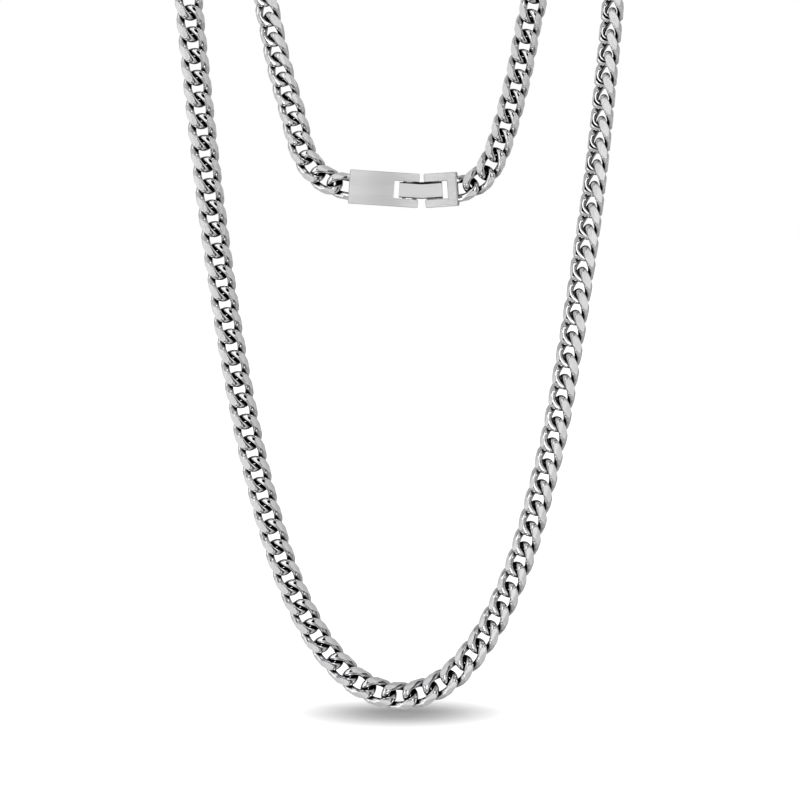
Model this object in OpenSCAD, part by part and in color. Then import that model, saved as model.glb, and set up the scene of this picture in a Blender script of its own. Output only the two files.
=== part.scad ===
// Steel curb chain necklace, a whole closed loop of flat twisted links held up as it
// hangs: a long drop in front, a short drop behind it that carries the lever clasp, and
// two arches over the hollow where the neck goes.
// Millimetres. +Z is up, the show side of both drops faces -Y, +X is to the right as seen.
// The origin is the neck rest: on the centre plane, at the underside of the two arches.

/* [Loop] */

// Distance between the two front arms where they meet the arches
front_w = 88.2; // [85:0.2:91]
// Drop of the front, from the neck rest to the middle of its lowest link
front_drop = 171; // [166:0.5:176]
// Distance between the two back arms where they meet the arches
back_w = 59.4; // [57.6:0.2:61]
// Drop of the back, from the neck rest to the middle of the clasp
back_drop = 65.3; // [63.5:0.1:67]
// Distance from the back drop to the front drop
depth = 50; // [47:0.5:53]
// Rise of the two arches over the arms
arch_rise = 25.2; // [24:0.1:26.4]

/* [Chain] */

// Spacing of the links, which is rounded to a whole number of links in the loop
link_pitch = 4.49; // [4.4:0.01:4.6]
// Width of the flat chain, outside to outside
chain_w = 6; // [5.6:0.1:6.4]
// Thickness of the link wire, across the corners of its section
wire_d = 1.54; // [1.3:0.02:1.56]
// Distance between the wires of two links where they cross, centre to centre
crossing = 1.88; // [1.8:0.02:2]
// How far the wire of a link rises and falls out of its flat plane
twist = 1.1; // [1:0.05:1.2]

/* [Clasp] */

// Length of the long clasp plate
plate_l = 15.5; // [14:0.5:17]
// Length of the short clasp bracket
bracket_l = 7.5; // [7:0.5:9]
// Height of plate and bracket across the chain's run
clasp_h = 7.55; // [7:0.05:9]
// Thickness of plate and bracket
clasp_t = 2.2; // [2:0.1:2.8]
// Space between plate and bracket
clasp_gap = 1.3; // [0.9:0.1:1.8]
// Height of the slot that the tongue lies in
slot_h = 3.9; // [3.6:0.1:4.2]
// Length of the slot in the plate
plate_slot_l = 5.5; // [5:0.1:6]
// Length of the slot in the bracket
bracket_slot_l = 5.1; // [4.8:0.1:5.4]
// Tilt of plate and of bracket, which hang as a shallow V
clasp_tilt = 3.8; // [2:0.2:5]
// Radius of the corners of plate and bracket
corner_r = 0.35; // [0.2:0.05:0.6]

/* [Tongue and pins] */

// Space between the tongue and each side of the slot
tongue_side_gap = 0.2; // [0.16:0.02:0.4]
// Space between each end of the tongue and the slot's end
tongue_end_gap = 1.1; // [0.8:0.1:1.3]
// Thickness of the tongue
tongue_t = 2; // [1.8:0.1:2.2]
// Diameter of the hinge pin and of the catch pin
pin_d = 0.8; // [0.6:0.05:0.9]
// Distance from the tongue's end to each pin
pin_inset = 1.2; // [1:0.1:1.5]
// How far the catch pin lies behind the middle of the clasp
catch_back = 0.35; // [0.25:0.05:0.4]
// Radial space between a pin and its bores in the prongs
pin_seat_gap = 0.02; // [0.01:0.01:0.05]
// Radial space between the hinge pin and the tongue's bore
pin_turn_gap = 0.05; // [0.03:0.01:0.1]
// Space between the catch pin and each side of the tongue's groove
catch_gap = 0.2; // [0.15:0.05:0.3]

/* [Hidden] */

round_fn = 48;

link_stations = 12;
wire_sides = 5;
wire_r = wire_d / 2;
span_steps = 6;

// The chain's middle lies this high over the neck rest at the top of the arches.
arch_mid = 2.1;
arch_z = arch_mid - arch_rise;

// Places on the two drops and on the arches, in per cent: across, of half the drop's
// width; down, of the drop; on an arch, of the way outwards from the back arm to the
// front arm, where the angle runs from the back over the top to the front.
function front(across, down, roll) =
    [across * front_w / 200, -depth / 2, -down * front_drop / 100, roll];
function back(across, down, roll) =
    [across * back_w / 200, depth / 2, -down * back_drop / 100, roll];
function over(side, angle, way, roll) =
    [side * (back_w + way / 100 * (front_w - back_w)) / 2, depth / 2 * cos(angle),
        arch_z + arch_rise * sin(angle), roll];

function xyz(p) = [p[0], p[1], p[2]];

// Middle of the clasp, in the gap between plate and bracket.
clasp_at = xyz(back(16.16, 100, 0));
loop_out_plate = 0.8;
loop_out_bracket = 0.45;
loop_sink = 0.8;
loop_slack = 0.3;
loop_lean = 8;

plate_end = -clasp_gap / 2 - plate_l;
bracket_end = clasp_gap / 2 + bracket_l;
tongue_left = -clasp_gap / 2 - plate_slot_l + tongue_end_gap;
tongue_right = clasp_gap / 2 + bracket_slot_l - tongue_end_gap;
tongue_w = slot_h - 2 * tongue_side_gap;
hinge_u = tongue_left + pin_inset;
catch_u = tongue_right - pin_inset;
loop_left_u = plate_end - loop_out_plate;
loop_right_u = bracket_end + loop_out_bracket;

function on_clasp(u, tilt) = concat(clasp_at + u * [cos(tilt), 0, -sin(tilt)], [0]);

// Route of the chain from the plate over the left arch, round the front and over the
// right arch to the bracket, with the roll of the flat chain about its run in degrees.
route = [
    on_clasp(loop_left_u, clasp_tilt),
    back(-54.9, 96.2, 0),
    back(-66, 91.7, 0),
    back(-73.1, 85.6, 0),
    back(-80.8, 72.4, 8),
    back(-89.6, 58.2, 20),
    back(-96, 44.4, 28),
    over(-1, 0, 0, 28),
    over(-1, 30, 16, 26),
    over(-1, 60, 36.8, 20),
    over(-1, 90, 61.1, 13),
    over(-1, 120, 81.9, 11),
    over(-1, 150, 95.1, 10),
    over(-1, 180, 98.6, 10),
    front(-95.2, 25.7, 10),
    front(-90.7, 36.3, 9),
    front(-85.5, 46.8, 8),
    front(-79.4, 57.3, 7),
    front(-72.1, 67.5, 6),
    front(-65.3, 75.1, 6),
    front(-59.6, 80.4, 6),
    front(-53.1, 85.4, 6),
    front(-44.4, 90.4, 7),
    front(-33.6, 94.8, 8),
    front(-18.6, 98.5, 10),
    front(0.7, 100, 12),
    front(20.2, 98.4, 14),
    front(34.7, 94.7, 16),
    front(45.8, 90.1, 18),
    front(54.4, 85.1, 20),
    front(61, 80.1, 22),
    front(66.2, 75.1, 24),
    front(73.5, 67.3, 27),
    front(80.3, 57.3, 32),
    front(86.6, 46.8, 38),
    front(92.1, 36.3, 45),
    front(96.4, 25.7, 51),
    over(1, 180, 101.4, 54),
    over(1, 150, 98.6, 48),
    over(1, 120, 85.4, 38),
    over(1, 90, 64.6, 27),
    over(1, 60, 39.6, 16),
    over(1, 30, 17.4, 6),
    over(1, 0, 0, 1),
    back(95.3, 44.4, 0),
    back(89.6, 58.2, 0),
    back(82.2, 72, 0),
    back(73.7, 84.8, 0),
    back(67.7, 91, 0),
    back(58.9, 96.2, 0),
    on_clasp(loop_right_u, -clasp_tilt)
];

function unit(v) = v / norm(v);

// Smooth curve through the route's points.
function route_at(i, t) =
    let (last = len(route) - 1,
        p1 = route[i],
        p2 = route[i + 1],
        p0 = i > 0 ? route[i - 1] : 2 * p1 - p2,
        p3 = i + 2 <= last ? route[i + 2] : 2 * p2 - p1)
    0.5 * (2 * p1 + (p2 - p0) * t + (2 * p0 - 5 * p1 + 4 * p2 - p3) * t * t
        + (3 * p1 - p0 - 3 * p2 + p3) * t * t * t);
fine = [
    for (i = [0 : len(route) - 2], k = [0 : span_steps - 1]) route_at(i, k / span_steps),
    route[len(route) - 1]
];
run = [
    for (i = 0, s = 0; i < len(fine);
        s = s + (i + 1 < len(fine) ? norm(xyz(fine[i + 1]) - xyz(fine[i])) : 0), i = i + 1)
        s
];
run_l = run[len(run) - 1];
link_count = round(run_l / link_pitch) - 1;
pitch = run_l / (link_count + 1);

tables = [for (a = [0 : 3]) [for (i = [0 : len(fine) - 1]) [run[i], fine[i][a]]]];
function spot(s) = [for (a = [0 : 2]) lookup(s, tables[a])];

// Each link lies along the chord of its own stretch; its flat side looks away from the
// hollow and is then rolled about the run.
function heading(s) = unit(spot(s + pitch / 2) - spot(s - pitch / 2));
function outward(s) =
    let (c = max(-1, min(1, 2 * spot(s)[1] / depth))) [0, c, sqrt(1 - c * c)];
function facing(s) =
    let (t = heading(s), o = outward(s), n = unit(o - t * (o * t)),
        roll = lookup(s, tables[3]))
    n * cos(roll) + cross(n, t) * sin(roll);
function link_frame(s) =
    let (p = spot(s), t = heading(s), n = facing(s), w = cross(n, t))
    [[t[0], w[0], n[0], p[0]], [t[1], w[1], n[1], p[1]], [t[2], w[2], n[2], p[2]],
        [0, 0, 0, 1]];

half_l = (pitch + crossing) / 2;
wire_turn = 180 / wire_sides;
half_w = chain_w / 2 - wire_r * cos(wire_turn);

// Centre line of the wire round a link of half length l, its direction and its outside.
function wire_at(f, l) = [l * cos(f), half_w * sin(f), -twist * sin(2 * f)];
function wire_dir(f, l) = unit([-l * sin(f), half_w * cos(f), -2 * twist * cos(2 * f)]);
function wire_out(f, l) = [cos(f) / l, sin(f) / half_w, 0];

function ring(c, t, out) =
    let (n = unit(out - t * (out * t)), m = cross(t, n))
    [for (k = [0 : wire_sides - 1])
        let (g = 360 * k / wire_sides + wire_turn) c + wire_r * (cos(g) * n + sin(g) * m)];
function skin(from, to) = [
    for (k = [0 : wire_sides - 1])
        let (n = (k + 1) % wire_sides, a = from * wire_sides, b = to * wire_sides)
        each [[a + k, b + n, b + k], [a + k, a + n, b + n]]
];

module link() {
    rings = [
        for (i = [0 : link_stations - 1])
            let (f = 360 * i / link_stations)
            each ring(wire_at(f, half_l), wire_dir(f, half_l), wire_out(f, half_l))
    ];
    faces = [for (i = [0 : link_stations - 1]) each skin(i, (i + 1) % link_stations)];
    polyhedron(rings, faces);
}

module links(first, last)
    for (i = [first : last]) multmatrix(link_frame(i * pitch)) link();

// Half a link, open towards -X, whose two strands run on straight by reach. It leans up
// towards the chain and is a little longer than half a link, so that the chain can turn.
module end_loop(reach) {
    half = link_stations / 2;
    l = half_l + loop_slack;
    rings = concat(
        ring([-reach, -half_w, 0], [1, 0, 0], [0, -1, 0]),
        [for (i = [0 : half])
            let (f = -90 + 180 * i / half)
            each ring(wire_at(f, l), wire_dir(f, l), wire_out(f, l))],
        ring([-reach, half_w, 0], [-1, 0, 0], [0, 1, 0])
    );
    stations = half + 3;
    end_at = (stations - 1) * wire_sides;
    faces = concat(
        [for (i = [0 : stations - 2]) each skin(i, i + 1)],
        [[for (k = [0 : wire_sides - 1]) k]],
        [[for (k = [wire_sides - 1 : -1 : 0]) end_at + k]]
    );
    polyhedron(rings, faces);
}

module plate_frame() translate(clasp_at) rotate([0, clasp_tilt, 0]) children();
module bracket_frame() translate(clasp_at) rotate([0, -clasp_tilt, 0]) children();

// Flat bar from u = a to u = b with rounded corners seen from the front.
module bar(a, b) {
    x0 = a + corner_r;
    x1 = b - corner_r;
    z1 = clasp_h / 2 - corner_r;
    translate([a, -clasp_t / 2, -z1]) cube([b - a, clasp_t, 2 * z1]);
    translate([x0, -clasp_t / 2, -clasp_h / 2]) cube([x1 - x0, clasp_t, clasp_h]);
    for (x = [x0, x1], z = [-z1, z1])
        translate([x, 0, z]) rotate([90, 0, 0])
            cylinder(r = corner_r, h = clasp_t, center = true, $fn = round_fn);
}

module slot(a, b)
    translate([a, -clasp_t / 2 - 1, -slot_h / 2]) cube([b - a, clasp_t + 2, slot_h]);

module pin_bore(u, y)
    translate([u, y, 0])
        cylinder(r = pin_d / 2 + pin_seat_gap, h = clasp_h + 2, center = true,
            $fn = round_fn);

module pin(u, y)
    translate([u, y, 0])
        cylinder(d = pin_d, h = clasp_h, center = true, $fn = round_fn);

left_count = ceil(link_count / 2);

module chain_left() color("silver") links(1, left_count);

module chain_right() color("silver") links(left_count + 1, link_count);

module clasp_plate()
    color("gainsboro") plate_frame() {
        difference() {
            bar(plate_end, -clasp_gap / 2);
            slot(-clasp_gap / 2 - plate_slot_l, 1);
            pin_bore(hinge_u, 0);
        }
        translate([loop_left_u, 0, 0]) rotate([0, 180 + loop_lean, 0]) rotate([90, 0, 0])
            end_loop(loop_out_plate + loop_sink);
    }

module clasp_bracket()
    color("gainsboro") bracket_frame() {
        difference() {
            bar(clasp_gap / 2, bracket_end);
            slot(-1, clasp_gap / 2 + bracket_slot_l);
            pin_bore(catch_u, catch_back);
        }
        translate([loop_right_u, 0, 0]) rotate([0, -loop_lean, 0]) rotate([90, 0, 0])
            end_loop(loop_out_bracket + loop_sink);
    }

// The tongue turns on the hinge pin and its groove snaps over the catch pin from the
// front; it is bent in the middle to follow plate and bracket.
module clasp_tongue()
    color("white") {
        bend_u = tongue_w / 2 * tan(clasp_tilt);
        difference() {
            plate_frame()
                translate([0, tongue_t / 2, 0]) rotate([90, 0, 0])
                    linear_extrude(tongue_t)
                        polygon([[tongue_left, -tongue_w / 2], [bend_u, -tongue_w / 2],
                            [-bend_u, tongue_w / 2], [tongue_left, tongue_w / 2]]);
            plate_frame()
                translate([hinge_u, 0, 0])
                    cylinder(r = pin_d / 2 + pin_turn_gap, h = clasp_h, center = true,
                        $fn = round_fn);
        }
        difference() {
            bracket_frame()
                translate([0, tongue_t / 2, 0]) rotate([90, 0, 0])
                    linear_extrude(tongue_t)
                        polygon([[-bend_u, -tongue_w / 2], [tongue_right, -tongue_w / 2],
                            [tongue_right, tongue_w / 2], [bend_u, tongue_w / 2]]);
            bracket_frame()
                translate([catch_u, catch_back, 0]) {
                    cylinder(r = pin_d / 2 + catch_gap, h = clasp_h, center = true,
                        $fn = round_fn);
                    translate([-pin_d / 2 - catch_gap, 0, -clasp_h / 2])
                        cube([pin_d + 2 * catch_gap, tongue_t, clasp_h]);
                }
        }
    }

module hinge_pin() color("silver") plate_frame() pin(hinge_u, 0);

module catch_pin() color("silver") bracket_frame() pin(catch_u, catch_back);

chain_left();
chain_right();
clasp_plate();
clasp_bracket();
clasp_tongue();
hinge_pin();
catch_pin();
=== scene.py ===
"""Looks of the curb chain necklace: polished twisted links with ground flats, a satin
lever clasp with a bevelled tongue, a pale floor and soft studio light."""

import math

import bmesh
import bpy
import numpy as np
from mathutils import Matrix, Vector
from mathutils.bvhtree import BVHTree


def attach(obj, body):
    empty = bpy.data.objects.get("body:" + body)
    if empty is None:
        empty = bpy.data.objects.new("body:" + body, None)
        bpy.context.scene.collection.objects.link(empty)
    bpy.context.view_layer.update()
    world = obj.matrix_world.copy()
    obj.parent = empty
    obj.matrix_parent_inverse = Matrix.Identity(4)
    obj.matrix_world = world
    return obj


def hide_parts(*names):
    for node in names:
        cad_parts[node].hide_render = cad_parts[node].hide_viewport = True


MM = 0.001

# Points nearer than WELD are one point, in millimetres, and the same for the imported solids,
# which are in metres. Points less than LEVEL apart in height are at one height, and an edge
# of more than SHARP radians is a sharp one.
WELD = 1e-5
WELD_SOLIDS = 2e-6
LEVEL = 1e-4
SHARP = 1

# Links, in millimetres: half length and half width of the wire's centre line, its rise and
# fall out of the flat plane, the radius of the wire, and how many times wider the pressed
# strands at the sides are than the round ends. Each link is bent from a plain ring.
LINK_HALF_LENGTH = 3.12
LINK_HALF_WIDTH = 2.13
LINK_TWIST = 1.05
WIRE_RADIUS = 0.82
STRAND_WIDENING = 1.14
WIRE_SIDES = 18
WIRE_STATIONS = 44
RING_RADIUS = 3
LINK_CREASE = 24

# Share of open sky, looked for from each point of a link: the distance between the links,
# rings of rays (lean from the surface's normal, rays in the ring), how far off the surface
# they start and how far they reach. Shade is painted into the polish and the brushed sides
# by it: their colour fades to the near black of the hollows' painted shade as the share falls
# from the second value of HOLLOW to the first.
LINK_PITCH = 4.49
OPENNESS_RINGS = [(10, 4), (30, 8), (50, 12), (70, 12)]
OPENNESS_LIFT = 0.02
OPENNESS_REACH = 3.0
HOLLOW = (0.34, 0.66)
HOLLOW_SHADE_COLOUR = (0.01, 0.01, 0.01, 1)

# Flats ground along the chain: angle of the flat from the side and its distance from the
# middle of the link. The round metal between them is brushed from this far out, where its
# normal's share towards the side is this large. The flats whose normal's share out of the
# link's plane is over UPPER_FLAT have a painted dark line of this width along their inner
# edge, standing for the dark reflection of a rounded edge.
FLATS = [(42, 2.39), (66, 2.03), (0, 2.88)]
# The side flats and the brushed round metal get a copy of the ground finish painted darker as
# shade.
BRUSHED_SIDE = (1.5, 0.38)
UPPER_FLAT = 0.8
RIM_LINE = 0.08

# Places of the finishes, painted shade and painted highlight among the materials of a link, a
# side of the clasp and the tongue.
POLISH, FLAT, BRUSHED_SHADED, LINE = range(4)
# This place holds the near black painted shade on the slot's walls and the bracket's end.
SHADED_WALL = 1
# This place holds the painted highlight on the tongue's front bevel.
TONGUE_BEVEL = 1
# This place holds the same painted shade on the tongue's sides.
TONGUE_WALL = 2

# Clasp, in millimetres, in its own axes: u to the right, v up, w towards the viewer.
CLASP_AT = Vector((4.8, 25, -65.3))
CLASP_TILT = 3.8
CLASP_GAP = 1.3
CLASP_HEIGHT = 7.55
CLASP_DEPTH = 2.2
PLATE_LENGTH = 15.5
BRACKET_LENGTH = 7.5
SLOT_HEIGHT = 3.9
PLATE_SLOT = 5.5
BRACKET_SLOT = 5.1
CORNER_RADIUS = 0.35
CORNER_STEPS = 5
SLOT_CORNER_STEPS = 4
RIM_RADIUS = 0.28
RIM_STEPS = 3
CLASP_CREASE = 12

# Depth of the hollow and swell along each bar, the length of their wave as a share of the
# bar's, and the number of stretches that the bar is cut into for them.
PLATE_SWELL = (0.122, 1.1)
BRACKET_SWELL = (0.05, 2.0)
SWELL_CUTS = 14

# Length and drop of the slope at the bracket's right end, and its end wall painted dark as
# shade: the faces to the right of the second value whose normal's share to the right is over
# the first.
END_BEVEL = (0.55, 0.3)
SHADED_END = (0.6, 7.6)

# Steps on the prongs' inner walls, behind the edges of the tongue. An inner wall is a face
# within SLOT_MARGIN of the slot whose normal's share up or down is over SLOT_WALL.
LEDGE_WIDTH = 0.3
LEDGE_DEPTH = 0.4
LEDGE_FROM_HINGE = 1.8
SLOT_WALL = 0.9
SLOT_MARGIN = 0.1

# End loops: how far the middle of the link lies out of the clasp's end, how much longer
# than a link it is on each side, its lean towards the chain and how deep it is set in.
LOOP_OUT_PLATE = 0.8
LOOP_OUT_BRACKET = 0.45
LOOP_SLACK = 0.3
LOOP_LEAN = 8
LOOP_SINK = 0.8

# Tongue and pins, in millimetres. The tongue's sides, painted dark as shade, are the faces
# whose normal's share across it is over TONGUE_SIDE.
TONGUE_SIDE_GAP = 0.26
TONGUE_END_GAP = 1.1
TONGUE_DEPTH = 2.0
TONGUE_CHAMFER = 0.2
TONGUE_BACK_CHAMFER = 0.5
TONGUE_SIDE = 0.7
GROOVE_STEPS = 8
PIN_RADIUS = 0.4
PIN_SIDES = 28
PIN_CREASE = 40
PIN_INSET = 1.2
CATCH_BACK = 0.35
CATCH_GAP = 0.2
PIN_CHAMFER = 0.05

# Camera and floor, in millimetres and degrees. The floor's painted shade is of SHADE_LEVEL out
# to the first reach around SHADE_AT, and rises to FLOOR_LEVEL at the second.
CAMERA_DISTANCE = 750
CAMERA_LOOKS_DOWN = 3
CAMERA_AIM = Vector((0, -25, -109))
LENS_MM = 162
SENSOR_MM = 36
CLIP_METRES = (0.01, 50)
FLOOR_Z = -174.4
FLOOR_HALF_SIZE = 6000
FLOOR_LEVEL = 0.97
FLOOR_GLOW = 0.85
FLOOR_ROUGHNESS = 0.9
FLOOR_SHINE = 0.1
SHADE_LEVEL = 0.27
SHADE_AT = (0.3, -26.5, FLOOR_Z)
SHADE_REACH = (2, 32)

# Suns: where the light comes from, its strength and the width of its disc in degrees.
FRONT_SUN = ((-0.4, -1, 0.0), 1.42, 30)
BACK_SUN = ((0.1, 1, 0.0), 0.9, 40)

# Softboxes and dark gaps, each laid over the ones before it: bearing to the right of the
# camera and height, half width and half height, softness of the edge (degrees), level.
ROOM_LEVEL = 0.02
SOFTBOXES = [
    (0, 0, 150, 90, 10, 0.48),
    (0, 82, 180, 14, 6, 0.2),
    (0, -76, 180, 16, 6, 0.1),
    (-66, 12, 24, 44, 5, 1.15),
    (-26, 22, 22, 34, 4, 0.0),
    (14, 10, 11, 55, 2, 2.0),
    (38, 0, 14, 55, 3, 0.62),
    (66, 0, 12, 50, 3, 0.06),
]
BOX_ANGLES = ("At Bearing", "At Height", "Half Width", "Half Height", "Edge")

# Depth of the finish's relief, in metres, and the stretch of a noise that is put to use.
SCRATCH_RELIEF = 0.00002
BRUSH_RELIEF = 0.00003
NOISE_RANGE = (0.35, 0.65)

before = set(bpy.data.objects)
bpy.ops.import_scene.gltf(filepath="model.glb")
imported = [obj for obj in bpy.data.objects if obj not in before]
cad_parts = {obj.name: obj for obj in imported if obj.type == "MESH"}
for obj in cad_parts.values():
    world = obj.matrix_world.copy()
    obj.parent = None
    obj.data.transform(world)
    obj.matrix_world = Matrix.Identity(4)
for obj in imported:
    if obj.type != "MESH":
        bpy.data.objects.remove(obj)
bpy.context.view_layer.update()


# Small mesh helpers

def in_metres(bm):
    bmesh.ops.scale(bm, vec=(MM, MM, MM), verts=bm.verts)


def finished(name, bm, materials, rides, replaced):
    """Makes the mesh a piece of the necklace, in the place of the named CAD nodes."""
    mesh = bpy.data.meshes.new(name)
    bm.to_mesh(mesh)
    bm.free()
    for material in materials:
        mesh.materials.append(material)
    piece = bpy.data.objects.new(name, mesh)
    bpy.context.scene.collection.objects.link(piece)
    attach(piece, rides)
    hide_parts(*replaced)
    return piece


def face_outward(bm):
    bmesh.ops.recalc_face_normals(bm, faces=bm.faces)
    if bm.calc_volume(signed=True) < 0:
        bmesh.ops.reverse_faces(bm, faces=bm.faces)


def round_edges(bm, edges, radius, segments=1):
    """Rounds the edges, or chamfers them where there is one segment."""
    return bmesh.ops.bevel(
        bm, geom=edges, offset=radius, offset_type="OFFSET", affect="EDGES",
        segments=segments, profile=0.5, material=-1, clamp_overlap=True,
    )


def mark_creases(bm, degrees, keep_sharp=False):
    """Smooth shading, broken at edges sharper than the angle, or also at those sharp before."""
    limit = math.radians(degrees)
    for face in bm.faces:
        face.smooth = True
    for edge in bm.edges:
        if edge.smooth or not keep_sharp:
            edge.smooth = len(edge.link_faces) == 2 and edge.calc_face_angle(0) < limit


def joined(*parts):
    """Puts several meshes into one, each keeping its own place, and frees them."""
    whole = bmesh.new()
    for part in parts:
        shape = bpy.data.meshes.new("part")
        part.to_mesh(shape)
        part.free()
        whole.from_mesh(shape)
        bpy.data.meshes.remove(shape)
    return whole


def shifted(bm, along):
    """A copy of the mesh moved along the chain."""
    copy = bm.copy()
    bmesh.ops.translate(copy, verts=copy.verts, vec=(along, 0, 0))
    return copy


# Node groups

def group(name, inputs, outputs):
    """A shader node group with its sockets, and its input and output nodes."""
    tree = bpy.data.node_groups.new(name, "ShaderNodeTree")
    for label, kind, value in inputs:
        socket = tree.interface.new_socket(label, in_out="INPUT", socket_type=kind)
        socket.default_value = value
    for label, kind in outputs:
        tree.interface.new_socket(label, in_out="OUTPUT", socket_type=kind)
    return tree, tree.nodes.new("NodeGroupInput"), tree.nodes.new("NodeGroupOutput")


def node(tree, kind, **settings):
    """Adds a node, with the inputs or properties of these names set."""
    made = tree.nodes.new(kind)
    for key, value in settings.items():
        if key in made.inputs:
            made.inputs[key].default_value = value
        else:
            setattr(made, key, value)
    return made


def object_coordinates(tree):
    return tree.nodes.new("ShaderNodeTexCoord").outputs["Object"]


def fine_scratches_group():
    """Fine slanting hairlines and a soft unevenness of the polish."""
    tree, given, out = group(
        "fine_scratches",
        [("Vector", "NodeSocketVector", (0, 0, 0)), ("Density", "NodeSocketFloat", 900.0)],
        [("Lines", "NodeSocketFloat"), ("Haze", "NodeSocketFloat")],
    )
    link = tree.links.new
    stretch = node(tree, "ShaderNodeMapping", Scale=(1, 1, 0.12), Rotation=(0.2, 0.35, 0))
    lines = node(tree, "ShaderNodeTexNoise", Detail=3.0, Roughness=0.6)
    haze = node(tree, "ShaderNodeTexNoise", Scale=260.0, Detail=4.0, Roughness=0.55)
    link(given.outputs["Vector"], stretch.inputs["Vector"])
    link(stretch.outputs["Vector"], lines.inputs["Vector"])
    link(given.outputs["Density"], lines.inputs["Scale"])
    link(given.outputs["Vector"], haze.inputs["Vector"])
    link(lines.outputs["Fac"], out.inputs["Lines"])
    link(haze.outputs["Fac"], out.inputs["Haze"])
    return tree


def brushed_grain_group():
    """Long parallel brush lines along the clasp, with broad lighter and darker strokes."""
    tree, given, out = group(
        "brushed_grain",
        [("Vector", "NodeSocketVector", (0, 0, 0)), ("Fineness", "NodeSocketFloat", 9000.0)],
        [("Grain", "NodeSocketFloat"), ("Strokes", "NodeSocketFloat")],
    )
    link = tree.links.new
    along = node(tree, "ShaderNodeMapping", Scale=(0.02, 1, 1))
    grain = node(tree, "ShaderNodeTexNoise", Detail=5.0, Roughness=0.7)
    strokes = node(tree, "ShaderNodeTexNoise", Scale=420.0, Detail=2.0, Roughness=0.5)
    link(given.outputs["Vector"], along.inputs["Vector"])
    link(along.outputs["Vector"], grain.inputs["Vector"])
    link(given.outputs["Fineness"], grain.inputs["Scale"])
    link(along.outputs["Vector"], strokes.inputs["Vector"])
    link(grain.outputs["Fac"], out.inputs["Grain"])
    link(strokes.outputs["Fac"], out.inputs["Strokes"])
    return tree


FINE_SCRATCHES = fine_scratches_group()
BRUSHED_GRAIN = brushed_grain_group()


# Finishes

def principled(name, metallic=1.0):
    material = bpy.data.materials.new(name)
    material.use_nodes = True
    tree = material.node_tree
    tree.nodes.clear()
    shader = tree.nodes.new("ShaderNodeBsdfPrincipled")
    shader.inputs["Metallic"].default_value = metallic
    output = tree.nodes.new("ShaderNodeOutputMaterial")
    tree.links.new(shader.outputs["BSDF"], output.inputs["Surface"])
    return material, tree, shader


def spread(tree, value, low, high, at=NOISE_RANGE):
    """Maps a noise value to a range of numbers."""
    ramp = node(tree, "ShaderNodeMapRange")
    ramp.inputs["From Min"].default_value = at[0]
    ramp.inputs["From Max"].default_value = at[1]
    ramp.inputs["To Min"].default_value = low
    ramp.inputs["To Max"].default_value = high
    tree.links.new(value, ramp.inputs["Value"])
    return ramp.outputs["Result"]


def grey_between(tree, value, dark, light):
    mix = node(tree, "ShaderNodeMix", data_type="RGBA")
    mix.inputs["A"].default_value = (*dark, 1)
    mix.inputs["B"].default_value = (*light, 1)
    tree.links.new(value, mix.inputs["Factor"])
    return mix.outputs["Result"]


def bump(tree, shader, height, strength, distance):
    raised = node(tree, "ShaderNodeBump", Strength=strength, Distance=distance)
    tree.links.new(height, raised.inputs["Height"])
    tree.links.new(raised.outputs["Normal"], shader.inputs["Normal"])


def scratched(name, dark, light, roughness, scratch_depth, metallic=1.0):
    material, tree, shader = principled(name, metallic)
    marks = node(tree, "ShaderNodeGroup", node_tree=FINE_SCRATCHES)
    tree.links.new(object_coordinates(tree), marks.inputs["Vector"])
    tree.links.new(
        grey_between(tree, spread(tree, marks.outputs["Haze"], 0, 1), dark, light),
        shader.inputs["Base Color"])
    tree.links.new(
        spread(tree, marks.outputs["Lines"], *roughness), shader.inputs["Roughness"])
    bump(tree, shader, marks.outputs["Lines"], scratch_depth, SCRATCH_RELIEF)
    return material


def brushed(name, dark, light, roughness, depth, metallic=1.0):
    material, tree, shader = principled(name, metallic)
    brush = node(tree, "ShaderNodeGroup", node_tree=BRUSHED_GRAIN)
    tree.links.new(object_coordinates(tree), brush.inputs["Vector"])
    tree.links.new(
        grey_between(tree, spread(tree, brush.outputs["Strokes"], 0, 1), dark, light),
        shader.inputs["Base Color"])
    tree.links.new(
        spread(tree, brush.outputs["Grain"], *roughness), shader.inputs["Roughness"])
    bump(tree, shader, brush.outputs["Grain"], depth, BRUSH_RELIEF)
    return material


def paint_hollow_shade(material):
    """Paints shade into a finish's colour in the hollows where the links lie in each other."""
    tree = material.node_tree
    shader = next(n for n in tree.nodes if n.type == "BSDF_PRINCIPLED")
    openness = node(tree, "ShaderNodeAttribute", attribute_name="openness")
    polish = shader.inputs["Base Color"].links[0].from_socket
    share = spread(tree, openness.outputs["Fac"], 0, 1, HOLLOW)
    mix = node(tree, "ShaderNodeMix", data_type="RGBA")
    mix.inputs["A"].default_value = HOLLOW_SHADE_COLOUR
    tree.links.new(share, mix.inputs["Factor"])
    tree.links.new(polish, mix.inputs["B"])
    tree.links.new(mix.outputs["Result"], shader.inputs["Base Color"])


# Each has a darker and a lighter colour, a range of roughness and the strength of its relief.
polished_wire = scratched(
    "polished_wire", (0.84, 0.84, 0.85), (0.90, 0.90, 0.91), (0.03, 0.09), 0.15)
# Painted shade in the hollows of the polish.
paint_hollow_shade(polished_wire)
ground_flat = scratched(
    "ground_flat", (0.84, 0.84, 0.85), (0.90, 0.90, 0.91), (0.50, 0.60), 0.3, metallic=0.5)
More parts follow.
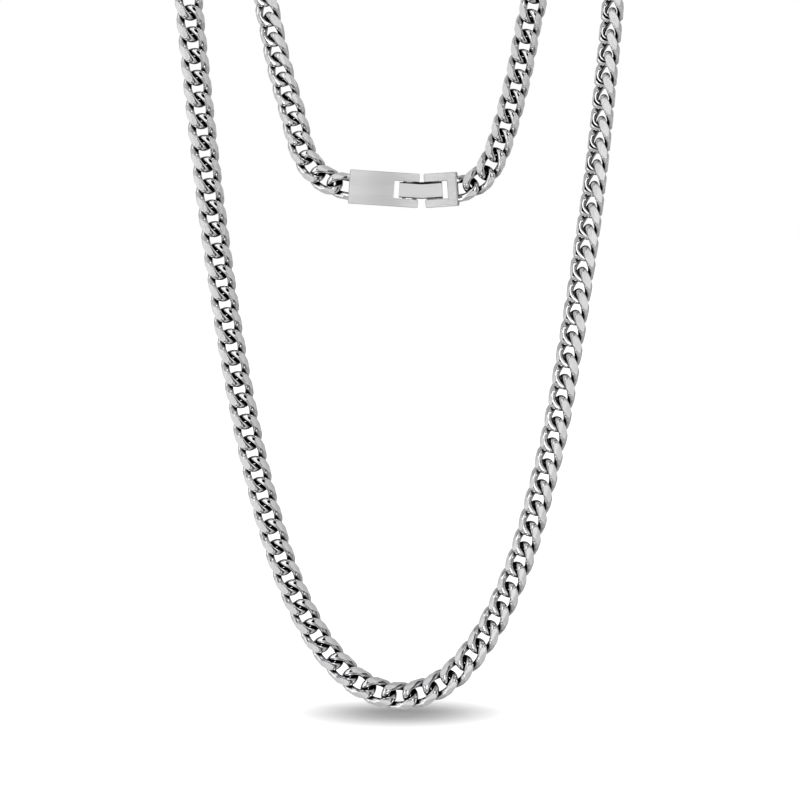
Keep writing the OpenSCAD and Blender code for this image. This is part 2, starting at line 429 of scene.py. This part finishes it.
# The ground finish's copy for the sides, painted darker as shade.
brushed_and_shaded_side = scratched(
    "brushed_and_shaded_side", (0.63, 0.63, 0.64), (0.71, 0.71, 0.72), (0.50, 0.60), 0.3, metallic=0.5)
paint_hollow_shade(brushed_and_shaded_side)
satin_plate = brushed(
    "satin_plate", (0.68, 0.68, 0.685), (0.75, 0.75, 0.755), (0.38, 0.48), 0.3, metallic=0.7)
satin_bracket = brushed(
    "satin_bracket", (0.74, 0.74, 0.745), (0.81, 0.81, 0.815), (0.38, 0.48), 0.3, metallic=0.7)
satin_tongue = brushed(
    "satin_tongue", (0.72, 0.72, 0.725), (0.79, 0.79, 0.795), (0.42, 0.52), 0.3, metallic=0.5)
# Near white painted highlight for the tongue's front bevel.
bevel_painted_highlight = scratched(
    "bevel_painted_highlight", (0.90, 0.90, 0.91), (0.97, 0.97, 0.98), (0.4, 0.5), 0.15, metallic=0.3)
# Near black painted shade for the walls in the clasp's narrow gaps and at the bracket's end.
painted_wall_shade = scratched(
    "painted_wall_shade", (0.03, 0.03, 0.03), (0.05, 0.05, 0.05), (0.35, 0.45), 0.3)
# Dark grey painted along the flats' inner edges for the dark reflection of a rounded edge.
painted_dark_rim = scratched(
    "painted_dark_rim", (0.10, 0.10, 0.10), (0.16, 0.16, 0.16), (0.35, 0.45), 0.2)
pin_steel = scratched("pin_steel", (0.62, 0.62, 0.63), (0.70, 0.70, 0.71), (0.18, 0.28), 0.3)
LINK_FINISHES = [polished_wire, ground_flat, brushed_and_shaded_side, painted_dark_rim]


# Links

def wire_at(angle, half_length):
    """Middle of the wire at an angle round the link."""
    return Vector((
        half_length * math.cos(angle),
        LINK_HALF_WIDTH * math.sin(angle),
        -LINK_TWIST * math.sin(2 * angle),
    ))


def wire_frame(angle, half_length):
    """Outside and upper directions of the wire's section at an angle round the link."""
    run = Vector((
        -half_length * math.sin(angle),
        LINK_HALF_WIDTH * math.cos(angle),
        -2 * LINK_TWIST * math.cos(2 * angle),
    )).normalized()
    out = Vector((math.cos(angle) / half_length, math.sin(angle) / LINK_HALF_WIDTH, 0))
    out = (out - run * out.dot(run)).normalized()
    return out, run.cross(out)


def grind(bm, angle, distance):
    """Grinds flats along the link: cuts the metal beyond each plane and closes the cut."""
    tilt = math.radians(angle)
    for side in (-1, 1):
        for rise in (-1, 1) if angle else (1,):
            normal = Vector((0, side * math.cos(tilt), rise * math.sin(tilt)))
            geometry = bm.verts[:] + bm.edges[:] + bm.faces[:]
            cut = bmesh.ops.bisect_plane(
                bm, geom=geometry, plane_co=normal * distance, plane_no=normal,
                clear_outer=True, dist=WELD)
            rim = [part for part in cut["geom_cut"] if isinstance(part, bmesh.types.BMEdge)]
            flats = bmesh.ops.edgeloop_fill(bm, edges=rim)["faces"]
            for flat in flats:
                # The side flats get the copy painted darker as shade.
                flat.material_index = FLAT if angle else BRUSHED_SHADED


def paint_dark_rims(bm):
    """Sets off the upper flats from the polish inside them by a thin painted dark line, for the
    dark reflection of a rounded edge.
    """
    upper = [
        face for face in bm.faces
        if face.material_index != POLISH and abs(face.normal.z) > UPPER_FLAT]
    for flat in upper:
        inside = abs(flat.calc_center_median().y)
        rim = bmesh.ops.inset_individual(
            bm, faces=[flat], thickness=RIM_LINE, use_even_offset=True)
        for face in rim["faces"]:
            if abs(face.calc_center_median().y) < inside:
                face.material_index = LINE


def brush_and_shade_sides(bm):
    """Gives the round metal between the flats its brushed finish, painted darker as shade."""
    bm.normal_update()
    out, share = BRUSHED_SIDE
    for face in bm.faces:
        middle = face.calc_center_median().y
        sideways = face.normal.y * math.copysign(1, middle)
        if face.material_index == POLISH and abs(middle) > out and sideways > share:
            face.material_index = BRUSHED_SHADED


def mark_openness(bm, with_neighbours):
    """Stores at each point the share of the sky that the link and its neighbours leave open,
    for the painted shade in the hollows.
    """
    tree = BVHTree.FromBMesh(with_neighbours)
    layer = bm.verts.layers.float.new("openness")
    bm.normal_update()
    for vert in bm.verts:
        up = vert.normal
        side = up.orthogonal().normalized()
        other = up.cross(side)
        free = 0.0
        whole = 0.0
        for ring, turns in OPENNESS_RINGS:
            lean = math.radians(ring)
            for step in range(turns):
                turn = 2 * math.pi * step / turns
                ray = (
                    up * math.cos(lean)
                    + (side * math.cos(turn) + other * math.sin(turn)) * math.sin(lean))
                weight = math.cos(lean)
                whole += weight
                hit = tree.ray_cast(vert.co + up * OPENNESS_LIFT, ray, OPENNESS_REACH)
                if hit[0] is None:
                    free += weight
        vert[layer] = free / whole


def link_mesh(half_length):
    """One closed link of wire, twisted, pressed and ground flat on its outer sides."""
    bm = bmesh.new()
    section = bmesh.ops.create_circle(bm, segments=WIRE_SIDES, radius=1)
    bmesh.ops.rotate(bm, verts=section["verts"], matrix=Matrix.Rotation(math.pi / 2, 3, "X"))
    bmesh.ops.translate(bm, verts=section["verts"], vec=(RING_RADIUS, 0, 0))
    bmesh.ops.spin(
        bm, geom=bm.verts[:] + bm.edges[:], cent=(0, 0, 0), axis=(0, 0, 1), dvec=(0, 0, 0),
        angle=2 * math.pi, steps=WIRE_STATIONS, use_merge=True, use_duplicate=False)
    bmesh.ops.remove_doubles(bm, verts=bm.verts, dist=WELD)
    for vert in bm.verts:
        angle = math.atan2(vert.co.y, vert.co.x)
        sideways = math.hypot(vert.co.x, vert.co.y) - RING_RADIUS
        out, up = wire_frame(angle, half_length)
        place = wire_at(angle, half_length)
        widening = 1 + (STRAND_WIDENING - 1) * math.sin(angle) ** 2
        vert.co = place + WIRE_RADIUS * (sideways * widening * out + vert.co.z * up)
    face_outward(bm)
    row = joined(bm.copy(), shifted(bm, LINK_PITCH), shifted(bm, -LINK_PITCH))
    mark_openness(bm, row)
    row.free()
    for angle, distance in FLATS:
        grind(bm, angle, distance)
    paint_dark_rims(bm)
    face_outward(bm)
    mark_creases(bm, LINK_CREASE)
    for edge in bm.edges:
        if any(face.material_index != POLISH for face in edge.link_faces):
            edge.smooth = False
    brush_and_shade_sides(bm)
    return bm


def link_places(cad_node):
    """Where each link of a chain lies: the middle and the three axes of each loose solid."""
    solid = bmesh.new()
    solid.from_mesh(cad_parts[cad_node].data)
    bmesh.ops.remove_doubles(solid, verts=solid.verts, dist=WELD_SOLIDS)
    places = []
    left = set(solid.verts)
    for first in solid.verts:
        if first not in left:
            continue
        left.remove(first)
        island = [first]
        for vert in island:
            for edge in vert.link_edges:
                other = edge.other_vert(vert)
                if other in left:
                    left.remove(other)
                    island.append(other)
        points = np.array([vert.co[:] for vert in island])
        middle = points.mean(axis=0)
        _, _, axes = np.linalg.svd(points - middle)
        if np.linalg.det(axes) < 0:
            axes[2] = -axes[2]
        places.append(Matrix.LocRotScale(
            Vector(middle), Matrix(axes.T.tolist()), Vector((MM, MM, MM))))
    solid.free()
    return places


def chain(cad_node, name):
    """A run of links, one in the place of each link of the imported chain."""
    master = link_mesh(LINK_HALF_LENGTH)
    shape = bpy.data.meshes.new(name + "_link")
    master.to_mesh(shape)
    master.free()
    bm = bmesh.new()
    for place in link_places(cad_node):
        before = len(bm.verts)
        bm.from_mesh(shape)
        bm.verts.ensure_lookup_table()
        bmesh.ops.transform(bm, matrix=place, verts=bm.verts[before:])
    bpy.data.meshes.remove(shape)
    return finished(name, bm, LINK_FINISHES, "necklace", [cad_node])


# Clasp

def clasp_axes(tilt):
    """Turns u, v, w of the clasp into the necklace's frame, about the clasp's middle."""
    turn = Matrix.Rotation(math.radians(tilt), 4, "Y") @ Matrix.Rotation(math.pi / 2, 4, "X")
    return Matrix.Translation(CLASP_AT) @ turn


PLATE_AXES = clasp_axes(CLASP_TILT)
BRACKET_AXES = clasp_axes(-CLASP_TILT)


def end_loop(outward, at_u, reach, axes):
    """Half a link, soldered into the clasp's end, that leans up towards its chain."""
    bm = link_mesh(LINK_HALF_LENGTH + LOOP_SLACK)
    geometry = bm.verts[:] + bm.edges[:] + bm.faces[:]
    cut = bmesh.ops.bisect_plane(
        bm, geom=geometry, plane_co=(0, 0, 0), plane_no=(-1, 0, 0), clear_outer=True,
        dist=WELD)
    rim = [part for part in cut["geom_cut"] if isinstance(part, bmesh.types.BMEdge)]
    run_on = bmesh.ops.extrude_edge_only(bm, edges=rim)
    moved = [part for part in run_on["geom"] if isinstance(part, bmesh.types.BMVert)]
    bmesh.ops.translate(bm, verts=moved, vec=(-reach, 0, 0))
    ends = [part for part in run_on["geom"] if isinstance(part, bmesh.types.BMEdge)]
    bmesh.ops.edgeloop_fill(bm, edges=[edge for edge in ends if len(edge.link_faces) == 1])
    face_outward(bm)
    mark_creases(bm, LINK_CREASE, keep_sharp=True)
    lean = math.radians(LOOP_LEAN) * outward
    place = (
        axes @ Matrix.Translation((at_u, 0, 0)) @ Matrix.Rotation(lean, 4, "Z")
        @ (Matrix.Rotation(math.pi, 4, "Z") if outward < 0 else Matrix.Identity(4)))
    bmesh.ops.transform(bm, matrix=place, verts=bm.verts)
    return bm


def slotted_bar(closed_u, open_u, slot_u):
    """A bar with a slot that is open at one end, its corners and rims rounded."""
    top = CLASP_HEIGHT / 2
    slot = SLOT_HEIGHT / 2
    outline = [
        (closed_u, -top), (open_u, -top), (open_u, -slot), (slot_u, -slot),
        (slot_u, slot), (open_u, slot), (open_u, top), (closed_u, top),
    ]
    bm = bmesh.new()
    corners = [bm.verts.new((u, v, -CLASP_DEPTH / 2)) for u, v in outline]
    base = bm.faces.new(corners)
    raised = bmesh.ops.extrude_face_region(bm, geom=[base])
    lifted = [part for part in raised["geom"] if isinstance(part, bmesh.types.BMVert)]
    bmesh.ops.translate(bm, verts=lifted, vec=(0, 0, CLASP_DEPTH))
    face_outward(bm)
    upright = [e for e in bm.edges if abs(e.verts[0].co.z - e.verts[1].co.z) > LEVEL]
    outer = [e for e in upright if abs(e.verts[0].co.y) > slot + SLOT_MARGIN]
    inner = [e for e in upright if e not in outer]
    round_edges(bm, outer, CORNER_RADIUS, CORNER_STEPS)
    round_edges(bm, [e for e in inner if e.is_valid], CORNER_RADIUS / 2, SLOT_CORNER_STEPS)
    rims = [
        e for e in bm.edges
        if abs(e.verts[0].co.z - e.verts[1].co.z) < LEVEL and e.calc_face_angle(0) > SHARP]
    round_edges(bm, rims, RIM_RADIUS, RIM_STEPS)
    return bm


def cut_across(bm, at_u):
    """Cuts the bar's faces across at a place along it, and keeps both sides."""
    geometry = bm.verts[:] + bm.edges[:] + bm.faces[:]
    bmesh.ops.bisect_plane(
        bm, geom=geometry, plane_co=(at_u, 0, 0), plane_no=(1, 0, 0), dist=WELD)


def swell(bm, left_u, right_u, height, wave):
    """Gives the bar the slight hollow and swell, along its length, of a pressed plate."""
    length = right_u - left_u
    for cut in range(1, SWELL_CUTS):
        cut_across(bm, left_u + length * cut / SWELL_CUTS)
    for vert in bm.verts:
        turn = 2 * math.pi * (vert.co.x - left_u) / (length * wave)
        vert.co.z -= height * math.sin(turn)


def bevel_front(bm, right_u):
    """Slopes the front face down towards the bar's right end."""
    length, drop = END_BEVEL
    from_u = right_u - length
    cut_across(bm, from_u)
    for vert in bm.verts:
        if vert.co.z > 0 and vert.co.x > from_u:
            vert.co.z -= drop * (vert.co.x - from_u) / length


def ledge(from_u, to_u, side):
    """A thin step at the back of a prong's inner wall, behind the edge of the tongue."""
    bm = bmesh.new()
    bmesh.ops.create_cube(bm, size=1)
    bmesh.ops.scale(
        bm, vec=(abs(to_u - from_u), LEDGE_WIDTH + RIM_RADIUS, LEDGE_DEPTH), verts=bm.verts)
    middle = Vector((
        (from_u + to_u) / 2, side * (SLOT_HEIGHT - LEDGE_WIDTH + RIM_RADIUS) / 2,
        LEDGE_DEPTH / 2 - CLASP_DEPTH / 2 + RIM_RADIUS / 2))
    bmesh.ops.translate(bm, verts=bm.verts, vec=middle)
    return bm


def clasp_side(name, axes, ends, slot_u, ledge_u, finish, loop_u, loop_reach, outward):
    """Plate or bracket: a slotted bar with its ledges and its end loop on the outward side."""
    closed_u, open_u = ends
    satin, (height, wave) = finish
    bar = slotted_bar(closed_u, open_u, slot_u)
    swell(bar, min(ends), max(ends), height, wave)
    if outward > 0:
        bevel_front(bar, closed_u)
    bar = joined(bar, ledge(*ledge_u, 1), ledge(*ledge_u, -1))
    # The walls in the slot and the bracket's end wall get the painted shade.
    for face in bar.faces:
        middle = face.calc_center_median()
        slot_wall = (
            abs(face.normal.y) > SLOT_WALL and abs(middle.y) < SLOT_HEIGHT / 2 + SLOT_MARGIN)
        end_wall = face.normal.x > SHADED_END[0] and middle.x > SHADED_END[1]
        if slot_wall or end_wall:
            face.material_index = SHADED_WALL
    mark_creases(bar, CLASP_CREASE)
    bmesh.ops.transform(bar, matrix=axes, verts=bar.verts)
    loop = end_loop(outward, loop_u, loop_reach, axes)
    bar_finishes = [satin, painted_wall_shade]
    for face in loop.faces:
        face.material_index += len(bar_finishes)
    bm = joined(bar, loop)
    in_metres(bm)
    return finished(
        name + "_body", bm, bar_finishes + LINK_FINISHES, "necklace", [name])


def clasp_plate():
    left = -CLASP_GAP / 2 - PLATE_LENGTH
    open_u = -CLASP_GAP / 2
    return clasp_side(
        "clasp_plate", PLATE_AXES, (left, open_u), open_u - PLATE_SLOT,
        (HINGE_U + LEDGE_FROM_HINGE, open_u - CORNER_RADIUS), (satin_plate, PLATE_SWELL),
        left - LOOP_OUT_PLATE, LOOP_OUT_PLATE + LOOP_SINK, -1)


def clasp_bracket():
    right = CLASP_GAP / 2 + BRACKET_LENGTH
    open_u = CLASP_GAP / 2
    return clasp_side(
        "clasp_bracket", BRACKET_AXES, (right, open_u), open_u + BRACKET_SLOT,
        (open_u + CORNER_RADIUS, TONGUE_RIGHT), (satin_bracket, BRACKET_SWELL),
        right + LOOP_OUT_BRACKET, LOOP_OUT_BRACKET + LOOP_SINK, 1)


TONGUE_LEFT = -CLASP_GAP / 2 - PLATE_SLOT + TONGUE_END_GAP
TONGUE_RIGHT = CLASP_GAP / 2 + BRACKET_SLOT - TONGUE_END_GAP
TONGUE_WIDTH = SLOT_HEIGHT - 2 * TONGUE_SIDE_GAP
HINGE_U = TONGUE_LEFT + PIN_INSET
CATCH_U = TONGUE_RIGHT - PIN_INSET


def tongue_profile():
    """The tongue seen from its side, with the groove that snaps over the catch pin."""
    half = TONGUE_DEPTH / 2
    wide = PIN_RADIUS + CATCH_GAP
    groove = [
        (CATCH_U + wide * math.cos(a), -CATCH_BACK + wide * math.sin(a))
        for a in [math.pi * step / GROOVE_STEPS for step in range(GROOVE_STEPS, -1, -1)]
    ]
    back = [(TONGUE_LEFT, -half), (0, -half), (CATCH_U - wide, -half)]
    return (
        back + groove
        + [(CATCH_U + wide, -half), (TONGUE_RIGHT, -half), (TONGUE_RIGHT, half), (0, half),
           (TONGUE_LEFT, half)])


def clasp_tongue():
    bm = bmesh.new()
    side = [bm.verts.new((u, -TONGUE_WIDTH / 2, w)) for u, w in tongue_profile()]
    face = bm.faces.new(side)
    grown = bmesh.ops.extrude_face_region(bm, geom=[face])
    lifted = [part for part in grown["geom"] if isinstance(part, bmesh.types.BMVert)]
    bmesh.ops.translate(bm, verts=lifted, vec=(0, TONGUE_WIDTH, 0))
    face_outward(bm)
    front = TONGUE_DEPTH / 2 - LEVEL
    rim = [
        e for e in bm.edges
        if all(v.co.z > front for v in e.verts) and e.calc_face_angle(0) > SHARP]
    bevelled = round_edges(bm, rim, TONGUE_CHAMFER)
    # The front bevel gets the painted highlight.
    for face in bevelled["faces"]:
        face.material_index = TONGUE_BEVEL
    sharp = [
        e for e in bm.edges
        if all(v.co.z < -front for v in e.verts) and e.calc_face_angle(0) > SHARP
        and abs(e.verts[0].co.y - e.verts[1].co.y) < LEVEL]
    round_edges(bm, sharp, TONGUE_BACK_CHAMFER)
    bm.normal_update()
    # The tongue's sides get the painted shade.
    for face in bm.faces:
        if abs(face.normal.y) > TONGUE_SIDE and face.calc_center_median().z < front:
            face.material_index = TONGUE_WALL
    mark_creases(bm, CLASP_CREASE)
    for vert in bm.verts:
        if abs(vert.co.x) < WELD:
            mitre = -vert.co.y * math.tan(math.radians(CLASP_TILT))
            vert.co = PLATE_AXES @ Vector((mitre, vert.co.y, vert.co.z))
        else:
            vert.co = (PLATE_AXES if vert.co.x < 0 else BRACKET_AXES) @ vert.co
    in_metres(bm)
    return finished(
        "clasp_tongue_body", bm, [satin_tongue, bevel_painted_highlight, painted_wall_shade], "tongue",
        ["clasp_tongue"])


def pin(name, at_u, at_w, axes):
    """A rod through both prongs, its two ends flush with them."""
    bm = bmesh.new()
    bmesh.ops.create_cone(
        bm, cap_ends=True, segments=PIN_SIDES, radius1=PIN_RADIUS, radius2=PIN_RADIUS,
        depth=CLASP_HEIGHT)
    ends = [e for e in bm.edges if abs(e.verts[0].co.z - e.verts[1].co.z) < LEVEL]
    round_edges(bm, ends, PIN_CHAMFER)
    mark_creases(bm, PIN_CREASE)
    lay = Matrix.Translation((at_u, 0, at_w)) @ Matrix.Rotation(math.pi / 2, 4, "X")
    bmesh.ops.transform(bm, matrix=axes @ lay, verts=bm.verts)
    in_metres(bm)
    return finished(name + "_rod", bm, [pin_steel], "necklace", [name])


# Studio

def softbox_group():
    """Share of a softbox in a direction, from its bearing and height and their soft edges."""
    labels = ("Bearing", "Height", *BOX_ANGLES)
    tree, given, out = group(
        "softbox", [(label, "NodeSocketFloat", 0.0) for label in labels],
        [("Share", "NodeSocketFloat")])
    link = tree.links.new
    share = node(tree, "ShaderNodeMath", operation="MULTIPLY")
    sides = (("Bearing", "At Bearing", "Half Width"), ("Height", "At Height", "Half Height"))
    for at, (angle, middle, half) in enumerate(sides):
        away = node(tree, "ShaderNodeMath", operation="SUBTRACT")
        size = node(tree, "ShaderNodeMath", operation="ABSOLUTE")
        outer = node(tree, "ShaderNodeMath", operation="ADD")
        inner = node(tree, "ShaderNodeMath", operation="SUBTRACT")
        near = node(tree, "ShaderNodeMapRange", interpolation_type="SMOOTHSTEP")
        link(given.outputs[angle], away.inputs[0])
        link(given.outputs[middle], away.inputs[1])
        link(away.outputs[0], size.inputs[0])
        link(size.outputs[0], near.inputs["Value"])
        for reach, limit in ((outer, "From Min"), (inner, "From Max")):
            link(given.outputs[half], reach.inputs[0])
            link(given.outputs["Edge"], reach.inputs[1])
            link(reach.outputs[0], near.inputs[limit])
        link(near.outputs["Result"], share.inputs[at])
    link(share.outputs[0], out.inputs["Share"])
    return tree


def studio_world():
    """White for the camera; for the reflections softboxes and dark gaps in a dark room."""
    world = bpy.data.worlds.new("studio")
    world.use_nodes = True
    bpy.context.scene.world = world
    tree = world.node_tree
    tree.nodes.clear()
    link = tree.links.new
    direction = node(tree, "ShaderNodeSeparateXYZ")
    link(tree.nodes.new("ShaderNodeTexCoord").outputs["Generated"], direction.inputs[0])
    ahead = node(tree, "ShaderNodeMath", operation="MULTIPLY")
    ahead.inputs[1].default_value = -1
    link(direction.outputs["Y"], ahead.inputs[0])
    bearing = node(tree, "ShaderNodeMath", operation="ARCTAN2")
    link(direction.outputs["X"], bearing.inputs[0])
    link(ahead.outputs[0], bearing.inputs[1])
    height = node(tree, "ShaderNodeMath", operation="ARCSINE")
    link(direction.outputs["Z"], height.inputs[0])
    softbox = softbox_group()
    total = None
    for *angles, level in SOFTBOXES:
        box = node(tree, "ShaderNodeGroup", node_tree=softbox)
        link(bearing.outputs[0], box.inputs["Bearing"])
        link(height.outputs[0], box.inputs["Height"])
        for label, angle in zip(BOX_ANGLES, angles):
            box.inputs[label].default_value = math.radians(angle)
        blend = node(tree, "ShaderNodeMix", data_type="FLOAT")
        link(box.outputs["Share"], blend.inputs["Factor"])
        if total is None:
            blend.inputs["A"].default_value = ROOM_LEVEL
        else:
            link(total, blend.inputs["A"])
        blend.inputs["B"].default_value = level
        total = blend.outputs["Result"]
    seen = node(tree, "ShaderNodeLightPath")
    backdrop = node(tree, "ShaderNodeMix", data_type="FLOAT")
    link(seen.outputs["Is Camera Ray"], backdrop.inputs["Factor"])
    link(total, backdrop.inputs["A"])
    backdrop.inputs["B"].default_value = 1.0
    shine = node(tree, "ShaderNodeBackground")
    link(backdrop.outputs["Result"], shine.inputs["Color"])
    output = tree.nodes.new("ShaderNodeOutputWorld")
    link(shine.outputs["Background"], output.inputs["Surface"])


def soft_sun(name, comes_from, strength, width):
    """A wide even light that shades the satin faces and the floor, not the mirror polish."""
    light = bpy.data.lights.new(name, "SUN")
    light.energy = strength
    light.angle = math.radians(width)
    lamp = bpy.data.objects.new(name, light)
    lamp.rotation_euler = Vector(comes_from).to_track_quat("Z", "Y").to_euler()
    lamp.visible_glossy = False
    bpy.context.scene.collection.objects.link(lamp)


def pale_floor():
    """A white floor with a soft round shade painted below the chain, left out of the
    reflections.
    """
    bm = bmesh.new()
    bmesh.ops.create_grid(bm, x_segments=1, y_segments=1, size=FLOOR_HALF_SIZE)
    bmesh.ops.translate(bm, verts=bm.verts, vec=(0, 0, FLOOR_Z))
    in_metres(bm)
    mesh = bpy.data.meshes.new("floor")
    bm.to_mesh(mesh)
    bm.free()
    material, tree, shader = principled("pale_floor", metallic=0.0)
    away = node(tree, "ShaderNodeVectorMath", operation="DISTANCE")
    tree.links.new(object_coordinates(tree), away.inputs[0])
    away.inputs[1].default_value = Vector(SHADE_AT) * MM
    # The shade below the chain is painted into the floor's colour and glow.
    shade = node(tree, "ShaderNodeMapRange", interpolation_type="SMOOTHSTEP")
    shade.inputs["From Min"].default_value = SHADE_REACH[0] * MM
    shade.inputs["From Max"].default_value = SHADE_REACH[1] * MM
    shade.inputs["To Min"].default_value = SHADE_LEVEL
    shade.inputs["To Max"].default_value = FLOOR_LEVEL
    tree.links.new(away.outputs["Value"], shade.inputs["Value"])
    tree.links.new(shade.outputs["Result"], shader.inputs["Base Color"])
    tree.links.new(shade.outputs["Result"], shader.inputs["Emission Color"])
    shader.inputs["Emission Strength"].default_value = FLOOR_GLOW
    shader.inputs["Roughness"].default_value = FLOOR_ROUGHNESS
    shader.inputs["Specular IOR Level"].default_value = FLOOR_SHINE
    mesh.materials.append(material)
    floor = bpy.data.objects.new("floor", mesh)
    bpy.context.scene.collection.objects.link(floor)
    floor.visible_glossy = False
    floor.visible_diffuse = False


def camera():
    down = math.radians(CAMERA_LOOKS_DOWN)
    back = Vector((0, -math.cos(down), math.sin(down)))
    lens = bpy.data.cameras.new("camera")
    lens.lens = LENS_MM
    lens.sensor_width = SENSOR_MM
    lens.clip_start, lens.clip_end = CLIP_METRES
    body = bpy.data.objects.new("camera", lens)
    body.location = (CAMERA_AIM + back * CAMERA_DISTANCE) * MM
    body.rotation_euler = (math.pi / 2 - down, 0, 0)
    bpy.context.scene.collection.objects.link(body)
    bpy.context.scene.camera = body


camera()
studio_world()
pale_floor()
soft_sun("front", *FRONT_SUN)
soft_sun("back", *BACK_SUN)
bpy.context.scene.view_settings.view_transform = "Standard"

chain("chain_left", "chain_left_links")
chain("chain_right", "chain_right_links")
clasp_plate()
clasp_bracket()
clasp_tongue()
pin("hinge_pin", HINGE_U, 0, PLATE_AXES)
pin("catch_pin", CATCH_U, -CATCH_BACK, BRACKET_AXES)
